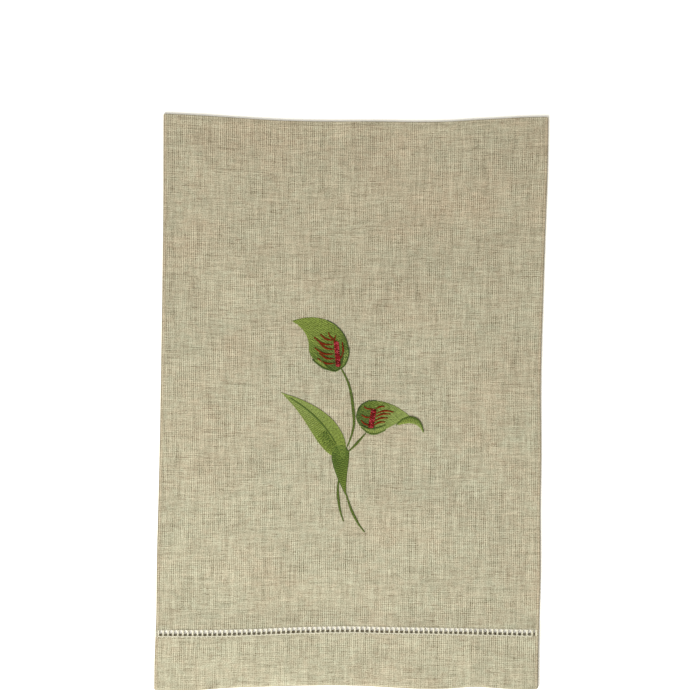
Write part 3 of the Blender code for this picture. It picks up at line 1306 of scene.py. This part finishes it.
@dataclass(frozen=True)
class Blade:
    """A hood, leaf or tail, drawn about its own bent axis and swelling near its base."""

    base: Point
    bend: Point
    tip: Point
    left: float
    right: float
    fullness: float = 0.6

    def line(self, side: float, start: float, end: float, steps: int = 6) -> tuple[Point, ...]:
        """Follows a line along the blade.

        Args:
            side: The line's place across: 1 at the left edge, 0 on the axis, -1 at the right edge.
            start: The share of the blade's length where the line starts.
            end: The share where it ends.
            steps: How many points it has.

        Returns:
            The line's points, in millimetres from the spray's knot.
        """
        share = np.linspace(start, end, steps)[:, None]
        base, bend, tip = (np.array(point) for point in (self.base, self.bend, self.tip))
        axis = base * (1 - share) ** 2 + bend * 2 * share * (1 - share) + tip * share**2
        along = (bend - base) * (1 - share) + (tip - bend) * share
        across = np.column_stack([-along[:, 1], along[:, 0]]) / np.linalg.norm(along, axis=1)[:, None]
        reach = side * (self.left if side > 0 else self.right) * np.sin(math.pi * share**self.fullness)
        return tuple((float(x), float(y)) for x, y in axis + across * reach)

    def band(self, first: float, second: float, start: float, end: float) -> tuple[Point, ...]:
        """Outlines the stretch between two lines along the blade.

        Args:
            first: The first line's place across.
            second: The second line's.
            start: The share of the length where the stretch starts.
            end: The share where it ends.

        Returns:
            The outline's points.
        """
        return (*self.line(first, start, end), *self.line(second, end, start))

    def half(self, side: float) -> tuple[Point, ...]:
        """Outlines the blade from its axis to one edge, pointed at its tip."""
        return (self.tip, self.tip, *self.line(side, 0.94, 0.03, 8), *self.line(0.0, 0.03, 0.85))

    def whole(self) -> tuple[Point, ...]:
        """Outlines the blade, rounded at its base and pointed at its tip."""
        return (*self.line(1.0, 0.015, 0.93, 9), self.tip, self.tip, *self.line(-1.0, 0.93, 0.015, 9))

    def fan(self, spike: tuple[Point, Point], *ends: Point, rise: float = 0.12) -> list[tuple[Point, ...]]:
        """Spreads veins from a spike.

        Args:
            spike: The spike's first and last place.
            ends: Each vein's end, as its place across and its share of the length.
            rise: How far each vein's middle bows from a straight line, as a share of its length.

        Returns:
            Each vein's points, in the order of their places along the spike.
        """
        foot, top = (np.array(point) for point in spike)
        veins = []
        for place, (side, share) in zip(np.linspace(0.08, 1.0, len(ends)), ends):
            start, end = foot + (top - foot) * place, np.array(self.line(side, share, share, 1)[0])
            run = end - start
            bow = np.array([-run[1], run[0]]) * (rise if run[0] < 0 else -rise)
            veins.append(tuple(map(tuple, (start + run * 0.15, start + run * 0.55 + bow, end))))
        return veins


@dataclass
class Embroidery:
    """The spray: two hooded green flowers with red spikes, a long leaf and their stems."""

    form: ClothForm
    knot: Point = (-4.0, -41.9)
    thread: float = 0.36
    # Each fill line's tone factor in turn: painted highlight on two raised lines, painted shade on a third
    # that lies lower.
    ridge_light_and_shade: tuple[float, ...] = (1.14, 0.60, 1.10)
    staggers: tuple[float, ...] = (0.0, 0.5, 0.25, 0.75)
    shortest: float = 0.9
    ragged: float = 0.35
    overlap: float = 0.12
    line_lift: float = 0.22
    spike_bases: tuple[float, ...] = (0.3, 0.6)
    spike_pitch: float = 0.95
    spike_lift: float = 0.2
    finish: ThreadFinish = ThreadFinish("embroidery_rayon", 0.5, 0.08)

    def sew(
        self,
        work: ThreadWork,
        start: np.ndarray,
        end: np.ndarray,
        lift: float,
        radius: float,
        tone: np.ndarray,
        base: float = 0.0,
    ) -> None:
        """Sews one stitch from one place to another.

        Args:
            work: Where the thread goes.
            start: The needle's first place, in millimetres from the spray's knot.
            end: Its second place.
            lift: How far the thread's middle stands off what it lies on.
            radius: Half the thread's width.
            tone: The thread's colour.
            base: The height of the stitches that it lies on.
        """
        share = np.array([0.0, 0.16, 0.5, 0.84, 1.0])
        plan = start + (end - start) * share[:, None] + self.knot
        arch = np.array([-0.3, 0.75, 1.0, 0.75, -0.3])
        height = self.form.rise(plan) + self.form.layer + base + lift * arch
        work.lay(np.column_stack([plan, height]), radius * np.array([0.55, 0.95, 1.0, 0.95, 0.55]), tone)

    def sew_under(self, work: ThreadWork, start: np.ndarray, end: np.ndarray, tone: np.ndarray) -> None:
        """Sews one stitch of the spray's reverse, on the underside.

        Args:
            work: Where the thread goes.
            start: The needle's first place, in millimetres from the spray's knot.
            end: Its second place.
            tone: The upper thread's colour, which shows mixed with a pale lower thread.
        """
        share = np.array([0.0, 0.3, 0.7, 1.0])
        plan = start + (end - start) * share[:, None] + self.knot
        height = self.form.rise(plan) + np.array([0.15, -0.08, -0.08, 0.15])
        mixed = work.vary(tone * 0.6 + Floss.CREAM.tone() * 0.4, 0.15)
        work.lay(np.column_stack([plan, height]), np.full(4, self.thread * 0.8), mixed)

    def fill(self, work: ThreadWork, *patches: FillPatch) -> None:
        """Fills patches with rows of stitches whose ends are staggered.

        Args:
            work: Where the thread goes.
            patches: The patches, the lowest first.
        """
        for patch in patches:
            for line, origin, heading in patch.lines():
                cuts = patch.cuts(origin, heading)
                for enter, leave in zip(cuts[::2], cuts[1::2]):
                    for first, last in self.split(work, patch, enter, leave, line):
                        self.fill_stitch(work, patch, line, origin + heading * first, origin + heading * last)

    def fill_stitch(
        self, work: ThreadWork, patch: FillPatch, line: int, start: np.ndarray, end: np.ndarray
    ) -> None:
        """Sews one stitch of a patch, and on every second line its reverse.

        Args:
            work: Where the thread goes.
            patch: The patch.
            line: The line's number, which gives its painted highlight or shade and its height.
            start: The needle's first place, in millimetres from the spray's knot.
            end: Its second place.
        """
        # Painted highlight or shade by line; the darkened line is also sewn lower, as a groove.
        shade = self.ridge_light_and_shade[line % len(self.ridge_light_and_shade)]
        tone = work.vary(patch.tone((start + end) / 2, work.random.uniform(-1, 1)) * shade, 0.12)
        lift = patch.lift * (1.0 if shade > 1 else 0.7) + work.random.uniform(-0.03, 0.03)
        self.sew(work, start, end, lift, self.thread, tone)
        if line % 2:
            self.sew_under(work, start, end, tone)

    def split(
        self, work: ThreadWork, patch: FillPatch, enter: float, leave: float, line: int
    ) -> Iterator[tuple[float, float]]:
        """Splits one line of a patch into stitches.

        Args:
            work: The work, for its random draws.
            patch: The patch.
            enter: Where the line enters the patch.
            leave: Where it leaves it.
            line: The line's number, which staggers its stitches.

        Yields:
            Each stitch's start and end along the line.
        """
        stagger = self.staggers[line % len(self.staggers)]
        places = [enter]
        for place in np.arange(enter + (1 - stagger) * patch.stitch, leave - self.shortest, patch.stitch):
            if place > enter + self.shortest:
                places.append(place + work.random.uniform(-self.ragged, self.ragged))
        places.append(leave)
        for first, last in zip(places, places[1:]):
            yield first - self.overlap, last + self.overlap

    def run(
        self,
        work: ThreadWork,
        points: Sequence[Point],
        width: float,
        flosses: Sequence[Floss],
        stitch: float,
        base: float,
    ) -> None:
        """Sews a narrow line of overlapping slanted stitches along a curve.

        Args:
            work: Where the thread goes.
            points: The curve's points, in millimetres from the spray's knot.
            width: The line's width, which narrows towards its two ends.
            flosses: The threads that take turns.
            stitch: The length of a stitch.
            base: The height of the stitches that the line lies on.
        """
        path = smooth_path(points, 0.5)
        steps = np.linalg.norm(np.diff(path, axis=0), axis=1)
        along = np.concatenate([[0.0], np.cumsum(steps)])
        heading = np.gradient(path, axis=0)
        heading /= np.linalg.norm(heading, axis=1)[:, None]
        aside = np.column_stack([-heading[:, 1], heading[:, 0]])
        length = float(along[-1])
        radius = min(self.thread, width / 3)
        for index, place in enumerate(np.arange(0.0, length - 0.5, stitch * 0.3)):
            reach = min(place + stitch, length)
            taper = min(1.0, 0.35 + 1.6 * min(place, length - reach) / length)
            slant = (width / 2 - radius) * taper
            ends = []
            for at, side in ((place, -slant), (reach, slant)):
                ends.append(
                    np.array([np.interp(at, along, path[:, axis] + aside[:, axis] * side) for axis in (0, 1)])
                )
            tone = work.vary(flosses[index % len(flosses)].tone(), 0.15)
            self.sew(work, ends[0], ends[1], self.line_lift, radius * (0.8 + 0.2 * taper), tone, base)
            if index % 3 == 0:
                self.sew_under(work, ends[0], ends[1], tone)

    def spike(self, work: ThreadWork, foot: Point, head: Point, width: float) -> None:
        """Sews the knotted red spike in a flower's hood.

        Args:
            work: Where the thread goes.
            foot: The spike's lower end, in millimetres from the spray's knot.
            head: Its upper end.
            width: Its width.
        """
        foot, head = np.array(foot), np.array(head)
        length = float(np.linalg.norm(head - foot))
        heading = (head - foot) / length
        aside = np.array([-heading[1], heading[0]])
        rows = round(length / self.spike_pitch)
        for layer, base in enumerate(self.spike_bases):
            for row in range(rows + 1):
                share = (row + 0.5 * layer) / (rows + 0.5)
                half = width / 2 * min(1.0, 1.3 * (1 - abs(2 * share - 1) ** 4) ** 0.5 + 0.25)
                for column in (-1, 0, 1):
                    middle = foot + heading * share * length + aside * column * half * 0.62
                    slope = 0.5 if (row + column + layer) % 2 else -0.5
                    reach = aside * half * 0.36 + heading * slope
                    floss = work.random.choice((Floss.WINE, Floss.CRIMSON, Floss.CRIMSON, Floss.ROSE))
                    tone = work.vary(floss.tone(), 0.12)
                    self.sew(work, middle - reach, middle + reach, self.spike_lift, self.thread, tone, base)

    def veins(self, work: ThreadWork, curves: Iterable[Sequence[Point]], *flosses: Floss) -> None:
        """Sews the red veins that spread from a spike.

        Args:
            work: Where the thread goes.
            curves: Each vein's points, from the spike outwards.
            flosses: The threads that take turns.
        """
        for points in curves:
            self.run(work, points, 2.5, flosses, 2.8, 0.4)

    def outline(
        self,
        work: ThreadWork,
        points: Sequence[Point],
        floss: Floss = Floss.FOREST,
        width: float = 0.95,
        base: float = 0.15,
    ) -> None:
        """Sews a thin dark line along an edge.

        Args:
            work: Where the thread goes.
            points: The line's points, in millimetres from the spray's knot.
            floss: The thread.
            width: The line's width.
            base: The height of the stitches that it lies on.
        """
        self.run(work, points, width, (floss,), 2.2, base)

    def upper_flower(self, material: bpy.types.Material) -> bpy.types.Object:
        """Sews the upper flower, whose hood points to the left.

        Args:
            material: The thread's finish.

        Returns:
            The flower.
        """
        work = ThreadWork(sides=5, flatness=0.75, seed=31)
        hood = Blade((-11, 70), (-13, 115), (-51, 117), 20, 16)
        spike = ((-8, 75), (-10, 98))
        self.fill(
            work,
            FillPatch(
                hood.whole(), ((-35.0, 65.0), (3.0, 123.0)), (138, 156), Floss.FERN, Floss.LEAF,
                ((-22, 76), (-30, 106)), stitch=6.5, overrun=0.1,
            ),
            FillPatch(
                hood.band(-0.98, -0.05, 0.05, 0.5), ((-24.0, 78.0), (8.0, 78.0)), (98, 72), Floss.PINE,
                Floss.MOSS, ((7, 86), (-13, 106)), lift=0.28,
            ),
            FillPatch(
                hood.band(1.03, 0.68, 0.005, 0.17), ((-30.0, 80.0), (-4.0, 70.0)), (-62, -40), Floss.LIME,
                Floss.LEAF, ((-14, 75), (-20, 69)), lift=0.3,
            ),
            FillPatch(
                hood.band(-1.03, -0.66, 0.005, 0.2), ((-8.0, 78.0), (8.0, 90.0)), (-40, -60), Floss.LIME,
                Floss.LEAF, ((0, 84), (4, 78)), lift=0.3,
            ),
        )
        self.outline(work, hood.line(1.05, 0.0, 0.2), Floss.FOREST, 2.1, 0.45)
        self.outline(work, hood.line(-1.05, 0.0, 0.22), Floss.FOREST, 1.8, 0.45)
        self.outline(work, hood.line(-0.66, 0.01, 0.2), Floss.FOREST, 1.5, 0.5)
        self.outline(work, hood.line(0.68, 0.01, 0.17), Floss.FERN, 1.4, 0.5)
        self.outline(work, hood.line(-1.02, 0.17, 0.6), Floss.PINE)
        left = hood.fan(spike, (0.8, 0.2), (0.6, 0.27), (0.7, 0.4), (0.4, 0.44), (0.5, 0.58), (0.1, 0.54))
        right = hood.fan(spike, (-0.75, 0.3), (-0.6, 0.4), (-0.35, 0.48))
        self.veins(work, (*left, *right), Floss.RUSSET, Floss.BLOOD)
        self.spike(work, *spike, 4.8)
        return work.piece("upper_flower", material)

    def lower_flower(self, material: bpy.types.Material) -> bpy.types.Object:
        """Sews the lower flower, whose hood points to the right.

        Args:
            material: The thread's finish.

        Returns:
            The flower.
        """
        work = ThreadWork(sides=5, flatness=0.75, seed=32)
        hood = Blade((9, 25), (36, 34), (60, 27), 14, 16, 0.55)
        tail = Blade((45, 20), (65, 33), (71, 13), 3, 3, 0.8)
        spike = ((22, 18), (25, 35))
        self.fill(
            work,
            FillPatch(
                hood.whole(), ((20.0, 8.0), (24.0, 48.0)), (4, -30), Floss.MOSS, Floss.LIME,
                ((22, 40), (42, 22)), stitch=6.5,
            ),
            FillPatch(
                hood.band(0.97, -0.75, 0.01, 0.28), ((6.0, 24.0), (30.0, 28.0)), (86, 66), Floss.PINE,
                Floss.MOSS, ((12, 22), (28, 42)), lift=0.28,
            ),
            FillPatch(
                hood.band(-1.03, -0.72, 0.04, 0.5), ((9.0, 12.0), (38.0, 12.0)), (60, 70), Floss.LIME,
                Floss.LEAF, ((22, 17), (22, 11)), lift=0.3,
            ),
            FillPatch(
                tail.whole(), ((46.0, 30.0), (76.0, 24.0)), (-70, -125), Floss.LEAF, Floss.LIME,
                ((56, 26), (66, 16)), lift=0.4, overrun=0.1,
            ),
        )
        self.run(work, tail.line(0.8, 0.0, 0.98), 3.2, (Floss.FOREST, Floss.MOSS, Floss.FERN), 2.6, 0.4)
        self.outline(work, hood.line(-1.05, 0.03, 0.5), Floss.FERN, 1.7, 0.45)
        self.outline(work, hood.line(-0.72, 0.04, 0.5), Floss.FOREST, 1.5, 0.5)
        self.outline(work, hood.line(1.02, 0.01, 0.38), Floss.PINE)
        right = hood.fan(spike, (-0.5, 0.5), (-0.25, 0.55), (0.05, 0.6), (0.3, 0.66), (0.65, 0.5), rise=-0.1)
        left = hood.fan(spike, (-0.1, 0.07), (0.35, 0.1), (0.8, 0.17))
        self.veins(work, (*right, *left), Floss.BLOOD, Floss.RUSSET, Floss.BLOOD)
        self.spike(work, *spike, 5.4)
        return work.piece("lower_flower", material)

    def long_leaf(self, material: bpy.types.Material) -> bpy.types.Object:
        """Sews the long leaf, with its dark folded foot and its midrib.

        Args:
            material: The thread's finish.

        Returns:
            The leaf.
        """
        work = ThreadWork(sides=5, flatness=0.75, seed=33)
        leaf = Blade((-4, -12), (-16, 26), (-60, 50), 13, 10, 0.65)
        foot = Blade((-6, 2), (-7, -20), (-1, -45), 8, 8, 0.45)
        self.fill(
            work,
            FillPatch(
                leaf.half(1.0), ((-62.0, 30.0), (0.0, -22.0)), (30, 44), Floss.LIME, Floss.LEAF,
                ((-46, 30), (-16, 6)), stitch=3.8,
            ),
            FillPatch(
                leaf.band(0.85, 0.1, 0.12, 0.4), ((-44.0, 12.0), (-8.0, -18.0)), (36, 60), Floss.LEAF,
                Floss.FERN, ((-25, 2), (-16, 10)), lift=0.42, stitch=6.0, spacing=0.9,
            ),
            FillPatch(
                leaf.half(-1.0), ((-62.0, 66.0), (10.0, 26.0)), (-64, -100), Floss.LIME, Floss.LEAF,
                ((-36, 38), (-4, -2)), lift=0.28, stitch=3.8,
            ),
            FillPatch(
                foot.whole(), ((-18.0, -2.0), (-8.0, -48.0)), (4, 24), Floss.MOSS, Floss.FERN,
                ((4, -24), (-12, -8)), lift=0.38, stitch=3.6,
            ),
        )
        self.run(work, leaf.line(0.0, 0.92, 0.2), 1.9, (Floss.FERN, Floss.FOREST), 2.4, 0.4)
        self.outline(work, leaf.line(1.0, 0.98, 0.16), Floss.LEAF)
        self.outline(work, leaf.line(-1.0, 0.98, 0.25), Floss.LEAF)
        self.outline(work, foot.line(-1.0, 0.1, 0.98))
        return work.piece("long_leaf", material)

    def stems(self, material: bpy.types.Material) -> bpy.types.Object:
        """Sews the stems of the flowers and the two cut ends below the leaf.

        Args:
            material: The thread's finish.

        Returns:
            The stems.
        """
        work = ThreadWork(sides=6, flatness=0.85, seed=34)
        shades = (Floss.STEM, Floss.FERN, Floss.STEM, Floss.MOSS)
        upper = ((-6.0, 74.0), (0.0, 62.5), (3.8, 50.0), (6.0, 32.0), (6.2, 20.0), (3.5, 9.0), (0.0, 0.0))
        lower = ((18.0, 13.5), (10.0, 4.5), (0.0, -5.5))
        left_end = ((-7.4, -26.0), (-8.4, -42.0), (-6.8, -57.0), (-3.4, -69.0))
        right_end = ((-1.2, -42.0), (3.2, -56.0), (9.5, -69.5), (16.2, -79.0))
        for route, width in ((upper, 3.6), (lower, 3.1), (left_end, 3.2), (right_end, 3.1)):
            self.run(work, route, width, shades, 3.2, 0.12)
        return work.piece("flower_stems", material)

    def build(self) -> list[bpy.types.Object]:
        """Sews the whole spray.

        Returns:
            Its pieces.
        """
        material = self.finish.paint()
        makers = (self.stems, self.long_leaf, self.upper_flower, self.lower_flower)
        return [make(material) for make in makers]


@dataclass
class Studio:
    """The plain pale ground, the soft light and the camera above the towel."""

    lens: float = 85.0
    sensor: float = 36.0
    ground_half: float = 2.5
    ground_drop: float = 0.3
    sky: float = 0.74
    sky_tone: tuple[float, float, float, float] = (1.0, 0.99, 0.97, 1.0)
    key_power: float = 74.0
    key_size: float = 1.0
    key_place: Point3 = (-0.88, -1.66, 1.15)

    def build(self) -> None:
        """Sets out the ground, the lights and the camera."""
        self.lay_ground()
        self.set_lights()
        self.set_camera()
        bpy.context.scene.view_settings.view_transform = "Standard"

    def lay_ground(self) -> None:
        """Lays the surface just under the towel."""
        bm = bmesh.new()
        bmesh.ops.create_grid(bm, x_segments=1, y_segments=1, size=self.ground_half)
        bmesh.ops.translate(bm, verts=bm.verts[:], vec=Vector((0, 0, -self.ground_drop * MM)))
        mesh = bpy.data.meshes.new("ground")
        bm.to_mesh(mesh)
        bm.free()
        mesh.materials.append(GroundFinish().paint())
        ground = bpy.data.objects.new("ground", mesh)
        bpy.context.scene.collection.objects.link(ground)
        ground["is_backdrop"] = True

    def set_lights(self) -> None:
        """Sets a wide soft light beyond the deep hem, and a pale sky."""
        world = bpy.data.worlds.new("pale_sky")
        world.use_nodes = True
        sky = world.node_tree.nodes["Background"]
        sky.inputs["Color"].default_value = self.sky_tone
        sky.inputs["Strength"].default_value = self.sky
        bpy.context.scene.world = world
        light = bpy.data.lights.new("key_light", "AREA")
        light.energy = self.key_power
        light.size = self.key_size
        lamp = bpy.data.objects.new("key_light", light)
        lamp.location = self.key_place
        lamp.rotation_euler = (-lamp.location).to_track_quat("-Z", "Y").to_euler()
        bpy.context.scene.collection.objects.link(lamp)

    def set_camera(self) -> None:
        """Hangs the camera straight above the middle of the picture."""
        side = PICTURE_SIDE * PICTURE_MM * MM
        middle = PICTURE_SIDE / 2
        x = (middle - PICTURE_MIDDLE[0]) * PICTURE_MM * MM
        y = (PICTURE_MIDDLE[1] - middle) * PICTURE_MM * MM
        data = bpy.data.cameras.new("camera")
        data.lens = self.lens
        data.sensor_width = self.sensor
        camera = bpy.data.objects.new("camera", data)
        camera.location = (x, y, side * self.lens / self.sensor)
        bpy.context.scene.collection.objects.link(camera)
        bpy.context.scene.camera = camera


def keep_sizes() -> None:
    """Gathers the solid's box and the dressed towel's box side by side, as plain lists."""
    boxes = {"cad": CAD_BOX, "scene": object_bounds()}
    plain = {name: [list(corner) for corner in box] for name, box in boxes.items()}


def main() -> None:
    """Builds the towel piece by piece and sets the studio round it."""
    logging.basicConfig(level=logging.INFO, format="%(message)s")
    form = ClothForm()
    ladder = Ladder(form)
    sheet = LinenSheet(form, ladder).build()
    sewing = [*Hemstitch(ladder).build(), HemSeam(form).build(), *Embroidery(form).build()]
    Studio().build()
    keep_sizes()


if __name__ == "__main__":
    main()
